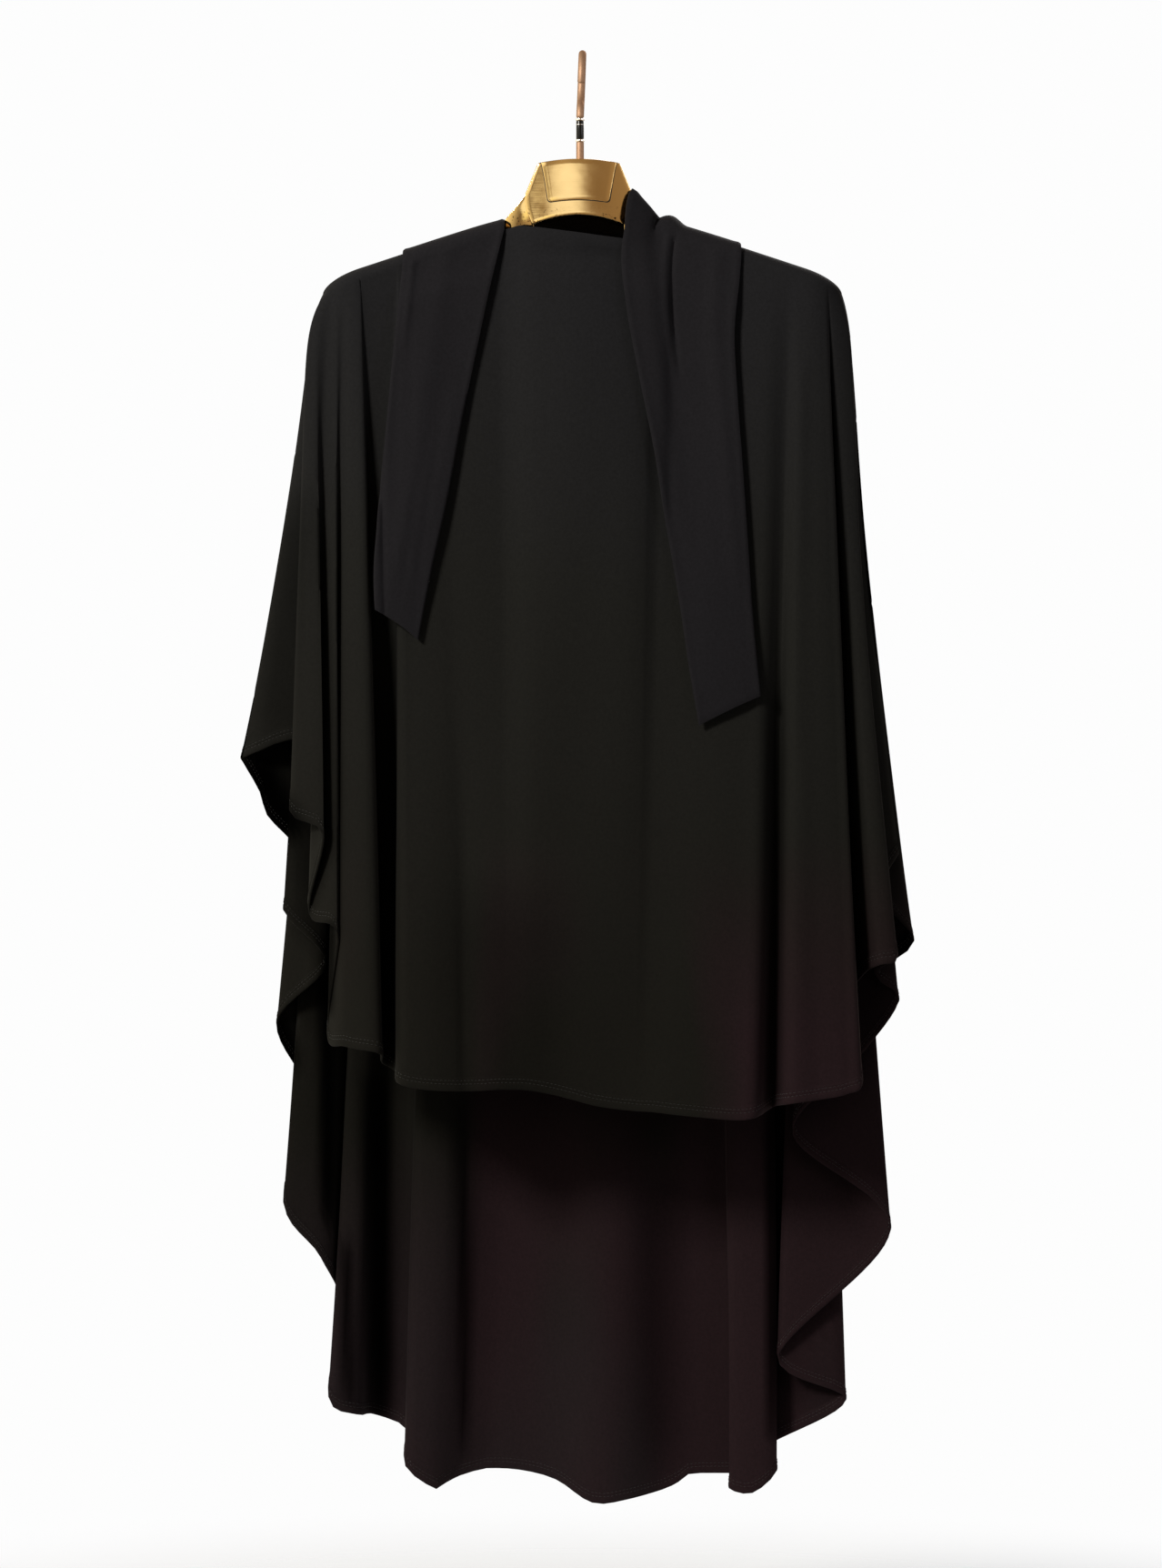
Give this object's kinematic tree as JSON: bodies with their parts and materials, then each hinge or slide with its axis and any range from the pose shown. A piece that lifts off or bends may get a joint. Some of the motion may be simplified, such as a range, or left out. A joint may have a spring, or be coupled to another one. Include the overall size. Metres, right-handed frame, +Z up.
{
  "type": "khimar veil on a clothes hanger",
  "caption": "Long black jersey cape veil, short in front and long behind, with two broad ties over the shoulders, hung on a gold plated clothes hanger.",
  "frame": {"origin": "the seat under the top of the hook's bow, where a rail carries it", "axes": "+Z up, -Y to the front of the veil, +X to the viewer's right, along the shoulders"},
  "size_m": [0.5781, 0.1568, 1.2552],
  "materials": {
    "jersey": "matt black jersey",
    "doubled_jersey": "matt black jersey, two layers",
    "gold_plate": "mirror gold plating",
    "rose_gold": "satin rose gold plating",
    "pale_metal": "bright plating",
    "black_plastic": "gloss"
  },
  "bodies": {
    "root": {"veil_cape": "jersey", "tie_left": "doubled_jersey", "tie_right": "doubled_jersey", "forehead_band": "doubled_jersey", "hanger_body": "gold_plate", "hanger_stem": "rose_gold", "collar_ring_low": "pale_metal", "collar_barrel": "black_plastic", "collar_ring_high": "pale_metal", "hook": "rose_gold"}
  },
  "joints": []
}
